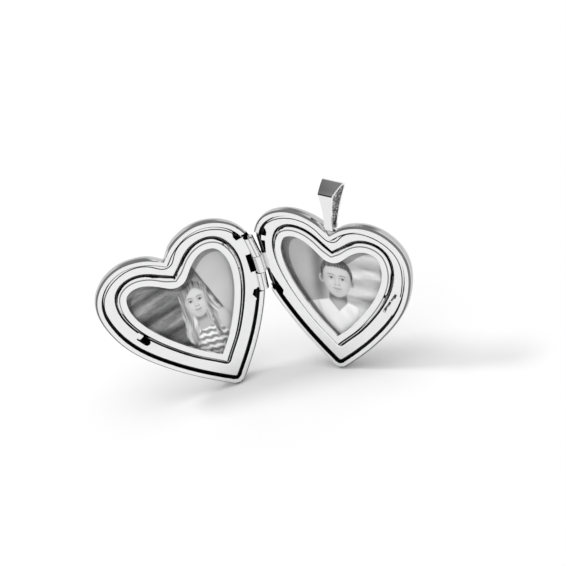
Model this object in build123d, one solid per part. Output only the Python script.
from build123d import *
import math
import os

import numpy as np

os.makedirs("parts", exist_ok=True)

# Heart-shaped photo locket, 20 mm class, standing open like a book.
# Built in the locket's own frame (millimetres): X to the wearer's left edge
# of the back half, Y to the back, Z up.  The parting plane of the two halves
# is y = 0, the back half lies at y > 0 and the closed front half at y < 0.
# Everything is moved at the end so that the origin is the bail's eye.

# ---------------------------------------------------------------- dimensions
# Half outlines of the heart, notch to tip (x, z), mirrored in x.
SEAM = [(0, 7.07), (1.35, 8.2), (5.07, 9.21), (8.0, 7.25), (8.53, 3.61), (7.54, 0.02),
        (5.66, -3.11), (3.29, -6.08), (1.0, -8.44), (0.38, -9.03), (0, -9.25)]
WELL = [(0, 5.54), (0.55, 5.87), (4.06, 7.94), (6.13, 7.38), (7.17, 5.22), (6.95, 2.62),
        (5.81, -0.17), (4.25, -2.66), (2.45, -4.94), (0.46, -6.97), (0, -7.28)]

CLOSED_HALF_GAP = 0.04      # each rim stops this far short of the parting plane
RIM_OUT = 0.60              # outer wall at the notch, outside the seam outline
RIM_IN = 0.10               # pocket wall, outside the seam outline
SHELL_T = 0.40              # sheet of the domed shells
HEART_R = 9.2               # outline size that the dome's draw-in is scaled by
DOME_C = (0.0, 0.8)         # centre the dome is drawn in to
# Section of one half from the rim's crest over the side to the flat crown:
# (outside the seam outline, depth below the parting plane).
RIM_SECTION = [(0.36, 0.04), (0.50, 0.05), (0.62, 0.09), (0.72, 0.17), (0.80, 0.30), (0.845, 0.48), (0.85, 0.70)]
DOME_SECTION = [(0.85, 0.70), (0.81, 0.90), (0.71, 1.13), (0.52, 1.38), (0.16, 1.67), (-0.55, 1.99), (-1.65, 2.31),
                (-3.20, 2.57), (-5.10, 2.66)]
SEAT_Y = 0.70               # step in the shell that the plate sits on
SEAT_IN = -0.16
SEAT_T = 0.25

PLATE_Y = 0.40              # plate face, below the parting plane
PLATE_OUT = -0.03
WELL_T = 0.22               # sheet of the pressed well
WELL_FLOOR = 1.02

FRAME_GAP = 0.15            # groove round the photo frame
FRAME_TOP = 0.05
FRAME_BEVEL = 0.30
FRAME_LAND = 0.74
FRAME_T = 0.28
FRAME_SKIRT = 0.24
FRAME_BOTTOM = 0.62
FRAME_TRAVEL = 1.20         # lift needed to free a frame (joint range)

COVER = (0.64, 0.78)        # clear cover, near and far face
PHOTO = (0.79, 1.00)        # print behind it

HINGE_TILT = 12.5046        # degrees, top of the pin towards the hinge side
HINGE_OUT = 8.14            # pin axis to the heart's centre
OPEN_DEG = 143.18           # opening angle of the rest pose
PIN_R = 0.15
BORE_R = 0.17
KNUCKLE_R = 0.56
KNUCKLE_GAP = 0.03          # half the slit between two knuckles
KNUCKLES = {"upper": (3.20, 5.60), "middle": (1.15, 3.20), "lower": (-0.97, 1.15)}
KNUCKLE_OFF = {"upper": (0.02, 0.32), "middle": (0.0, 0.0), "lower": (0.32, 0.16)}

CATCH_AT = (6.56, 0.34)     # catch tongue and its hole
CATCH_ANGLE = 67.8          # direction of the well wall there
CATCH_TIP = -1.05
CATCH_ROOT = 0.17           # centre of the rolled root it flexes about

STAPLE_R = 0.17
STAPLE_Y = 0.55
STAPLE_Z = 8.85
STAPLE_HALF = 0.78
BAIL_T = 0.25
BAIL_FIT = 0.04
BAIL_KNEE = (-0.20, 13.58)
BAIL_TOP = (2.70, 14.36)
BAIL_SIDE = (-0.300, 0.1600, 0.0855)    # half width = a + b*y + c*z
BAIL_WAIST = 11.2           # height of the narrowest part of its hollow sides
BAIL_EYE = (0.0, 1.00, 12.75)

ORIGIN = Vector(*BAIL_EYE)


# ------------------------------------------------------------------ outlines
def dense(points, n=900, level_start=False):
    """Cubic spline by chord length through the points; level at the tip,
    and at the notch too if level_start is set."""
    p = np.array(points, float)
    t = np.r_[0, np.cumsum(np.linalg.norm(np.diff(p, axis=0), axis=1))]
    h = np.diff(t)
    m = len(t)
    A = np.zeros((m, m))
    B = np.zeros((m, 2))
    if level_start:
        A[0, :2] = 2 * h[0], h[0]
        B[0] = 6 * ((p[1] - p[0]) / h[0] - np.array([1.0, 0.0]))
    else:
        A[0, 0] = 1
    for i in range(1, m - 1):
        A[i, i - 1 : i + 2] = h[i - 1], 2 * (h[i - 1] + h[i]), h[i]
        B[i] = 6 * ((p[i + 1] - p[i]) / h[i] - (p[i] - p[i - 1]) / h[i - 1])
    A[-1, -2:] = h[-1], 2 * h[-1]
    B[-1] = 6 * (np.array([-1.0, 0.0]) - (p[-1] - p[-2]) / h[-1])
    M = np.linalg.solve(A, B)
    out = []
    for s in np.linspace(0, t[-1], n):
        i = min(np.searchsorted(t, s, side="right") - 1, m - 2)
        a, b = t[i + 1] - s, s - t[i]
        out.append(M[i] * a**3 / (6 * h[i]) + M[i + 1] * b**3 / (6 * h[i])
                   + (p[i] / h[i] - M[i] * h[i] / 6) * a
                   + (p[i + 1] / h[i] - M[i + 1] * h[i] / 6) * b)
    return np.array(out)


SEAM_D = dense(SEAM)
WELL_D = dense(WELL, level_start=True)
for outline in (SEAM_D, WELL_D):
    outline[0, 0] = outline[-1, 0] = 0


def steps(n):
    """0 to 1 in n values, closer together towards the tip."""
    return 1 - (1 - np.linspace(0, 1, n)) ** 1.6


def half_outline(base, d, n=30, pinch=None):
    """Right half of the outline d outside base, as n points, notch to tip.
    With pinch, the outline is no more than pinch outside base at the notch."""
    t = np.gradient(base, axis=0)
    t /= np.linalg.norm(t, axis=1)[:, None]
    dd = np.full(len(base), float(d))
    if pinch is not None and d > pinch:
        a = np.r_[0, np.cumsum(np.linalg.norm(np.diff(base, axis=0), axis=1))]
        f = np.clip((a - 0.3) / 2.0, 0, 1)
        dd = pinch + (d - pinch) * f * f * (3 - 2 * f)
    q = base + dd[:, None] * np.c_[-t[:, 1], t[:, 0]]
    mid = len(q) // 2
    lo = mid
    while lo > 0 and q[lo - 1, 0] > 0:
        lo -= 1
    hi = mid
    while hi < len(q) - 1 and q[hi + 1, 0] > 0:
        hi += 1
    body = q[lo : hi + 1]
    a, b = body[0], body[1]
    if a[0] > 1e-6:
        s = (b[1] - a[1]) / (b[0] - a[0]) if b[0] > a[0] + 1e-9 else 0
        body = np.vstack([[0, a[1] - s * a[0]], body])
    a, b = body[-1], body[-2]
    if a[0] > 1e-6:
        s = (a[1] - b[1]) / (a[0] - b[0]) if abs(a[0] - b[0]) > 1e-9 else 0
        body = np.vstack([body, [0, a[1] - s * a[0]]])
    L = np.r_[0, np.cumsum(np.linalg.norm(np.diff(body, axis=0), axis=1))]
    keep = np.r_[True, np.diff(L) > 1e-7]
    body, L = body[keep], L[keep]
    s = L[-1] * steps(n)
    return np.c_[np.interp(s, L, body[:, 0]), np.interp(s, L, body[:, 1])]


def heart_wire(half, y, k=1.0):
    """Closed wire in the plane y, from the right half's points."""
    c = np.array(DOME_C)
    pts = c + k * (half - c)
    pts[0, 0] = pts[-1, 0] = 0
    right = [(x, y, z) for x, z in pts]
    left = [(-x, y, z) for x, z in pts]
    t0 = pts[1] - pts[0]
    t1 = pts[-1] - pts[-2]
    t0, t1 = t0 / np.linalg.norm(t0), t1 / np.linalg.norm(t1)
    if abs(t1[1]) < 0.35:
        t1 = np.array([-1.0, 0.0])
    if abs(t0[1]) < 0.35:
        t0 = np.array([1.0, 0.0])
    # the same parameters on every outline keep lofts between them light
    u = steps(len(pts))
    er = Edge.make_spline([Vector(*p) for p in right], parameters=[float(a) for a in u],
                          tangents=[Vector(t0[0], 0, t0[1]), Vector(t1[0], 0, t1[1])])
    el = Edge.make_spline([Vector(*p) for p in left], parameters=[float(a) for a in u],
                          tangents=[Vector(-t0[0], 0, t0[1]), Vector(-t1[0], 0, t1[1])])
    return Wire([er, el])


def prism(base, d, y0, y1):
    f = Face(heart_wire(half_outline(base, d), y0))
    return Solid.extrude(f, Vector(0, y1 - y0, 0))


def skin(sections, ruled=False):
    return Solid.make_loft(sections, ruled)


def rings(base, profile, ruled=True):
    """Solid through the outlines of a list of (offset, y)."""
    return skin([heart_wire(half_outline(base, d), y) for d, y in profile], ruled)


def one(shape):
    """The largest solid of a shape, as a plain Solid."""
    s = sorted(shape.solids(), key=lambda a: a.volume)[-1]
    return s if s.is_valid else s.fix()


# -------------------------------------------------------------- hinge helpers
H = math.radians(HINGE_TILT)
U = Vector(-math.sin(H), 0, math.cos(H))
W = Vector(math.cos(H), 0, math.sin(H))
FOOT = Vector(-HINGE_OUT * math.cos(H), 0, -HINGE_OUT * math.sin(H))
HINGE_PLANE = Plane(origin=FOOT, x_dir=W, z_dir=U)
HINGE_AXIS = Axis(FOOT, U)


def s_of(z):
    return (z - FOOT.Z) / math.cos(H)


def hbox(w0, w1, y0, y1, s0, s1):
    """Box in the hinge's own directions: inwards, back, along the pin."""
    b = Box(w1 - w0, y1 - y0, s1 - s0)
    b = b.moved(Location(((w0 + w1) / 2, (y0 + y1) / 2, (s0 + s1) / 2)))
    return HINGE_PLANE.location * b


def hcyl(r, s0, s1):
    c = Cylinder(r, s1 - s0).moved(Location((0, 0, (s0 + s1) / 2)))
    return HINGE_PLANE.location * c


def knuckle_body(name, grow=0.0, over=0.0):
    """Tube body whose centre line follows the heart's edge, ends square to the pin."""
    z0, z1 = KNUCKLES[name]
    s0, s1 = s_of(z0) + KNUCKLE_GAP, s_of(z1) - KNUCKLE_GAP
    o0, o1 = KNUCKLE_OFF[name]
    a = FOOT + U * s0 + W * o0
    b = FOOT + U * s1 + W * o1
    d = (b - a).normalized()
    a, b = a - d * 1.0, b + d * 1.0
    c = Solid.make_cylinder(KNUCKLE_R + grow, (b - a).length, Plane(origin=a, z_dir=d))
    return c & hbox(-2, 2, -2, 2, s0 - over, s1 + over)


def polygon_prism(points, y0, y1):
    pts = [Vector(x, y0, z) for x, z in points]
    f = Face(Wire.make_polygon(pts, close=True))
    return Solid.extrude(f, Vector(0, y1 - y0, 0))


# --------------------------------------------------------------------- shells
def dome_section(inset, n=10):
    """Points of the dome's section at even steps, moved inset towards the hollow."""
    p = dense(DOME_SECTION, 400)
    t = np.gradient(p, axis=0)
    t /= np.linalg.norm(t, axis=1)[:, None]
    p = p + inset * np.c_[-t[:, 1], t[:, 0]]
    L = np.r_[0, np.cumsum(np.linalg.norm(np.diff(p, axis=0), axis=1))]
    s = np.linspace(0, L[-1], n)
    return np.c_[np.interp(s, L, p[:, 0]), np.interp(s, L, p[:, 1])]


def dome(inset=0.0):
    """Solid under the domed back of the shell."""
    p = dome_section(inset)
    half = half_outline(SEAM_D, p[0][0], pinch=RIM_OUT)
    return skin([heart_wire(half, y, 1 - (p[0][0] - o) / HEART_R) for o, y in p])


def rim():
    return skin([heart_wire(half_outline(SEAM_D, o, pinch=RIM_OUT), y) for o, y in RIM_SECTION], True)


def shell(own, other):
    s = rim() + dome()
    s = s - rings(SEAM_D, [(0.22, 0.0), (0.10, 0.16), (RIM_IN, SEAT_Y)], ruled=True)
    # hollow under the seat; the sheet stays whole where the hinge flat is filed
    flat = hbox(-2.5, 0.42, -1.0, 6.0, -12, 16)
    s = s - (prism(SEAM_D, SEAT_IN, SEAT_Y - 0.05, SEAT_Y + SEAT_T + 0.02) - flat)
    s = s - ((dome(SHELL_T) & Box(40, 6, 40).moved(Location((0, SEAT_Y + SEAT_T + 3, 0)))) - flat)
    # the rim stops at both ends of the hinge
    s = s - hbox(-2.0, 0.98, -0.5, SEAT_Y + 0.02, s_of(-1.35), s_of(6.02))
    # flat filed along the hinge so the halves can open flat
    s = s - hbox(-2.5, 0.06, -0.5, 3.5, -9, 14)
    for k in own:
        s = s - knuckle_body(k, 0.0, 0.02)
    for k in other:
        z0, z1 = KNUCKLES[k]
        r = KNUCKLE_R + max(KNUCKLE_OFF[k]) + 0.07
        s = s - hcyl(r, s_of(z0) - 0.04, s_of(z1) + 0.04)
        # opening through the seat beside the other half's knuckle
        s = s - hbox(0.62, 1.22, 0.2, 1.35, s_of(z0) + 0.02, s_of(z1) - 0.02)
    return one(s)


# --------------------------------------------------------------------- plates
NOTCH_TOP = [(-8.75, 5.72), (-8.42, 6.55), (-8.16, 6.98), (-7.95, 6.72), (-7.80, 6.25), (-7.92, 5.72)]
NOTCH_LOW = [(-7.35, -0.80), (-6.72, -0.68), (-6.27, -1.18), (-6.46, -1.92), (-6.95, -1.62)]


def plate_blank():
    """Flat flange with a pressed well, the well's edge rolled over."""
    p = rings(SEAM_D, [(PLATE_OUT - 0.05, PLATE_Y), (PLATE_OUT, PLATE_Y + 0.05), (PLATE_OUT, SEAT_Y)])
    p = p + prism(WELL_D, WELL_T, PLATE_Y + 0.1, WELL_FLOOR + WELL_T)
    return p


def plate_hole():
    return rings(WELL_D, [(0.30, PLATE_Y - 0.10), (0.20, PLATE_Y), (0.09, PLATE_Y + 0.05), (0.02, PLATE_Y + 0.13),
                          (0.0, PLATE_Y + 0.24), (0.0, WELL_FLOOR)])


def finish_plate(p, own):
    for k in own:
        p = p - knuckle_body(k, 0.0, 0.02)
    p = p - hbox(-2.5, 0.10, -0.5, 3.5, -9, 14)
    return p


def catch_frame():
    """Local frame at the catch: x across the well wall outwards, z along it."""
    c = math.radians(CATCH_ANGLE)
    t = Vector(math.cos(c), 0, math.sin(c))
    n = Vector(math.sin(c), 0, -math.cos(c))
    return Plane(origin=(CATCH_AT[0], 0, CATCH_AT[1]), x_dir=n, z_dir=t)


def catch_solid(x0, x1, y0, y1, z0, z1):
    b = Box(x1 - x0, y1 - y0, z1 - z0).moved(Location(((x0 + x1) / 2, (y0 + y1) / 2, (z0 + z1) / 2)))
    return catch_frame().location * b


def back_plate():
    p = plate_blank()
    p = p + (hbox(0.2, 1.05, PLATE_Y, SEAT_Y, s_of(1.15) + 0.05, s_of(3.2) - 0.05))
    p = p - plate_hole()
    p = p - polygon_prism([(-9.6, 3.45), (-8.08, 3.45), (-8.08, 5.05), (-9.6, 5.05)], 0.2, 0.8)
    p = p - polygon_prism([(-9.0, 1.22), (-7.80, 1.22), (-7.12, 0.0), (-6.30, -1.2), (-6.46, -1.95),
                           (-7.3, -1.5), (-9.0, -1.5)], 0.2, 0.8)
    p = p - polygon_prism(NOTCH_TOP, 0.2, 0.8)
    p = finish_plate(p, ["middle"])
    p = p - hcyl(KNUCKLE_R + 0.39, s_of(3.2) - 0.03, s_of(5.6) + 0.05)
    p = p - hcyl(KNUCKLE_R + 0.39, s_of(-0.97) - 0.05, s_of(1.15) + 0.03)
    # solder foot of the catch tongue
    p = p + catch_solid(-0.20, 0.20, PLATE_Y - 0.10, PLATE_Y + 0.05, -0.36, 0.36)
    return one(p)


def front_plate():
    """Built like the back plate and mirrored later."""
    p = plate_blank()
    p = p + hbox(0.2, 1.05, PLATE_Y, SEAT_Y, s_of(3.2) + 0.30, s_of(5.6) - 0.06)
    p = p + hbox(0.2, 1.15, PLATE_Y, SEAT_Y, s_of(-0.97) + 0.10, s_of(1.15) - 0.22)
    p = p - plate_hole()
    p = p - hbox(-1.0, 1.20, 0.2, 0.8, s_of(1.15) - 0.06, s_of(3.2) + 0.10)
    p = p - polygon_prism(NOTCH_TOP, 0.2, 0.8)
    p = p - polygon_prism(NOTCH_LOW, 0.2, 0.8)
    p = finish_plate(p, ["upper", "lower"])
    p = p - hcyl(KNUCKLE_R + 0.08, s_of(1.15) - 0.03, s_of(3.2) + 0.03)
    # catch hole beside the well, and the little tab that bridges the groove above it
    hole = catch_solid(-0.42, 0.34, 0.2, 2.0, -0.40, 0.50)
    cyl = catch_frame().location * Cylinder(0.38, 1.8).rotate(Axis.X, 90).moved(Location((-0.04, 1.1, -0.40)))
    nib = catch_solid(0.14, 0.34, 0.2, 1.2, 0.3, 0.82)
    p = p - hole - cyl - nib
    tab = catch_solid(-0.47, -0.02, PLATE_Y, PLATE_Y + 0.22, 0.46, 1.18)
    tab = tab - prism(WELL_D, -FRAME_GAP + 0.02, 0.1, 1.3)
    p = p + tab
    return one(p)


# --------------------------------------------------- frame, cover and picture
def photo_frame():
    g = FRAME_GAP
    blank = rings(WELL_D, [(-g - FRAME_BEVEL - 0.05, FRAME_TOP), (-g - FRAME_BEVEL, FRAME_TOP + 0.02),
                           (-g - 0.10, 0.24), (-g, PLATE_Y - 0.02), (-g, FRAME_BOTTOM)])
    opening = rings(WELL_D, [(-g - FRAME_BEVEL - FRAME_LAND + 0.05, FRAME_TOP - 0.03),
                             (-g - FRAME_BEVEL - FRAME_LAND, FRAME_TOP + 0.05),
                             (-g - FRAME_BEVEL - FRAME_LAND, FRAME_BOTTOM + 0.1)])
    under = rings(WELL_D, [(-g - FRAME_BEVEL - FRAME_SKIRT + 0.02, FRAME_TOP + FRAME_T),
                           (-g - FRAME_SKIRT, PLATE_Y + 0.08), (-g - FRAME_SKIRT, FRAME_BOTTOM + 0.1)])
    f = blank - opening - under
    # four small dimples on the skirt that grip the well
    for i, (x, z) in enumerate([(7.02, 4.2), (-7.02, 4.2), (3.55, -3.62), (-3.55, -3.62)]):
        n = np.array([x, z]) / np.hypot(x, z)
        c = np.array([x, z])
        d = WELL_D * np.array([np.sign(x), 1])
        j = np.argmin(np.hypot(*(d - c).T))
        t = d[min(j + 1, len(d) - 1)] - d[j - 1]
        t /= np.linalg.norm(t)
        nn = np.array([t[1], -t[0]])
        if nn @ n < 0:
            nn = -nn
        p = d[j] - nn * (0.03 + 0.30)
        cyl = Solid.make_cylinder(0.30, 0.14, Plane(origin=(p[0], FRAME_BOTTOM - 0.14, p[1]), z_dir=(0, 1, 0)))
        f = f + (cyl - prism(WELL_D, -g - FRAME_SKIRT, 0.1, 1.0))
    return one(f)


def clear_cover():
    return prism(WELL_D, -0.06, *COVER)


def photo():
    return prism(WELL_D, -0.08, *PHOTO)


# ---------------------------------------------------------------------- hinge
def knuckle(name, bore):
    k = knuckle_body(name)
    z0, z1 = KNUCKLES[name]
    return one(k - hcyl(bore, s_of(z0) - 1, s_of(z1) + 1))


def hinge_pin():
    s0, s1 = s_of(-0.50), s_of(5.6) + 0.07
    p = hcyl(PIN_R, s0, s1)
    head = Solid.make_cone(0.25, 0.17, 0.12, Plane(origin=FOOT + U * (s_of(5.6) + 0.02), z_dir=U))
    return one(p + head)


# ---------------------------------------------------------------- bail, loop
def staple():
    z0 = 7.75
    r = 0.2
    hw = STAPLE_HALF
    y = STAPLE_Y
    zt = STAPLE_Z
    q = r * math.sqrt(0.5)
    e1 = Edge.make_line(Vector(-hw, y, z0), Vector(-hw, y, zt - r))
    e2 = Edge.make_three_point_arc(Vector(-hw, y, zt - r), Vector(-hw + r - q, y, zt - r + q), Vector(-hw + r, y, zt))
    e3 = Edge.make_line(Vector(-hw + r, y, zt), Vector(hw - r, y, zt))
    e4 = Edge.make_three_point_arc(Vector(hw - r, y, zt), Vector(hw - r + q, y, zt - r + q), Vector(hw, y, zt - r))
    e5 = Edge.make_line(Vector(hw, y, zt - r), Vector(hw, y, z0))
    path = Wire([e1, e2, e3, e4, e5])
    circle = Wire.make_circle(STAPLE_R, Plane(origin=(-hw, y, z0), z_dir=(0, 0, 1)))
    return one(Solid.sweep(Face(circle), path))


def bail():
    cy, cz = STAPLE_Y, STAPLE_Z
    r_in = STAPLE_R + BAIL_FIT
    r_out = r_in + BAIL_T
    knee, top = BAIL_KNEE, BAIL_TOP

    def loop(r, inset):
        """Closed side profile (y, z), inset inside the outer one."""
        pts_front = (cy - r * 0.9986, cz - r * 0.052)
        pts_back = (cy + r * 0.975, cz - r * 0.22)
        # unit directions of the outer faces
        k = np.array(knee)
        f0 = np.array([cy - r_out * 0.9986, cz - r_out * 0.052])
        b0 = np.array([cy + r_out * 0.975, cz - r_out * 0.22])
        tp = np.array(top)
        df = (k - f0) / np.linalg.norm(k - f0)
        dt = (tp - k) / np.linalg.norm(tp - k)
        # inset corner points
        nf = np.array([df[1], -df[0]])
        nt = np.array([dt[1], -dt[0]])
        M = np.array([nf, nt])
        kk = np.linalg.solve(M, np.array([nf @ k + inset, nt @ k + inset]))
        db = (b0 - tp) / np.linalg.norm(b0 - tp)
        nb = np.array([db[1], -db[0]])
        M2 = np.array([nt, nb])
        tt = np.linalg.solve(M2, np.array([nt @ tp + inset, nb @ tp + inset]))
        # rounded back corner
        rc = 0.60 - inset
        ang = math.acos(float(np.clip(-(dt @ db), -1, 1)))
        cut = rc / math.tan(ang / 2)
        a = tt - dt * cut
        c = tt + db * cut
        bis = (db - dt) / np.linalg.norm(db - dt)
        m = tt + bis * (rc / math.sin(ang / 2) - rc)
        V = lambda p: Vector(0, float(p[0]), float(p[1]))
        arch = (kk + a) / 2 - nt * 0.07
        e = [
            Edge.make_line(V(pts_front), V(kk)),
            Edge.make_three_point_arc(V(kk), V(arch), V(a)),
            Edge.make_three_point_arc(V(a), V(m), V(c)),
            Edge.make_line(V(c), V(pts_back)),
            Edge.make_three_point_arc(V(pts_back), V((cy, cz - r)), V(pts_front)),
        ]
        return Face(Wire(e))

    def slab(face):
        f = face.moved(Location((-1.6, 0, 0)))
        return Solid.extrude(f, Vector(3.2, 0, 0))

    body = slab(loop(r_out, 0.0)) - slab(loop(r_in, BAIL_T))
    a, b, c = BAIL_SIDE
    for sgn in (1, -1):
        # keep the side where sgn*x <= a + b*y + c*z
        n = Vector(sgn, -b, -c).normalized()
        p0 = Vector(sgn * (a + b * 1.0 + c * 11.0), 1.0, 11.0)
        pl = Plane(origin=p0, z_dir=n)
        body = body - (pl.location * Box(12, 12, 4).moved(Location((0, 0, 2))))
        # the sides are a little hollow
        mid = Vector(sgn * (a + b * 0.6 + c * BAIL_WAIST), 0.6, BAIL_WAIST)
        along = n.cross(Vector(0, 0, 1)).normalized()
        body = body - Solid.make_cylinder(22, 10, Plane(origin=mid + n * (22 - 0.13) - along * 5, z_dir=along))
    return one(body)


def catch_tongue():
    y_base = PLATE_Y - 0.11
    t = catch_solid(-0.09, 0.09, CATCH_TIP + 0.16, CATCH_ROOT, -0.22, 0.22)
    root = Solid.make_cylinder(y_base - CATCH_ROOT, 0.44, Plane(origin=(0, CATCH_ROOT, -0.22), z_dir=(0, 0, 1)))
    t = t + (catch_frame().location * root)
    bead = Solid.make_cylinder(0.16, 0.44, Plane(origin=(0.03, CATCH_TIP + 0.16, -0.22), z_dir=(0, 0, 1)))
    t = t + (catch_frame().location * bead)
    return one(t)


# ------------------------------------------------------------------ assembly
def mirror_front(s):
    return s.mirror(Plane.XZ)


def to_rest(s):
    return s.rotate(HINGE_AXIS, -OPEN_DEG)


def save(name, s, front=False):
    if front:
        s = to_rest(s)
    s = s.moved(Location(-ORIGIN))
    s.label = name
    export_step(s, f"parts/{name}.step")
    bb = s.bounding_box()
    print(f"{name:22s} vol {s.volume:9.4f}  valid {s.is_valid}  solids {len(s.solids())}"
          f"  x {bb.min.X:7.2f} {bb.max.X:7.2f}  y {bb.min.Y:7.2f} {bb.max.Y:7.2f}  z {bb.min.Z:7.2f} {bb.max.Z:7.2f}")


loop_wire = staple()
back_body = shell(["middle"], ["upper", "lower"])
back_body = back_body - loop_wire
# saddle filed in the notch so the bail's fold can turn under the loop
saddle = Solid.make_cylinder(0.57, 1.28, Plane(origin=(-0.64, STAPLE_Y, STAPLE_Z), z_dir=(1, 0, 0)))
back_body = one(back_body - (saddle - loop_wire))
save("back_shell", back_body)
save("back_plate", back_plate())
save("back_photo_frame", photo_frame())
save("back_photo_cover", clear_cover())
save("back_photo", photo())
save("middle_knuckle", knuckle("middle", PIN_R))
save("hinge_pin", hinge_pin())
save("catch_tongue", catch_tongue())
save("bail_loop", loop_wire)
save("bail", bail())

save("front_shell", mirror_front(shell(["upper", "lower"], ["middle"])), True)
save("front_plate", mirror_front(front_plate()), True)
save("front_photo_frame", mirror_front(photo_frame()), True)
save("front_photo_cover", mirror_front(clear_cover()), True)
save("front_photo", mirror_front(photo()), True)
save("upper_knuckle", mirror_front(knuckle("upper", BORE_R)), True)
save("lower_knuckle", mirror_front(knuckle("lower", BORE_R)), True)
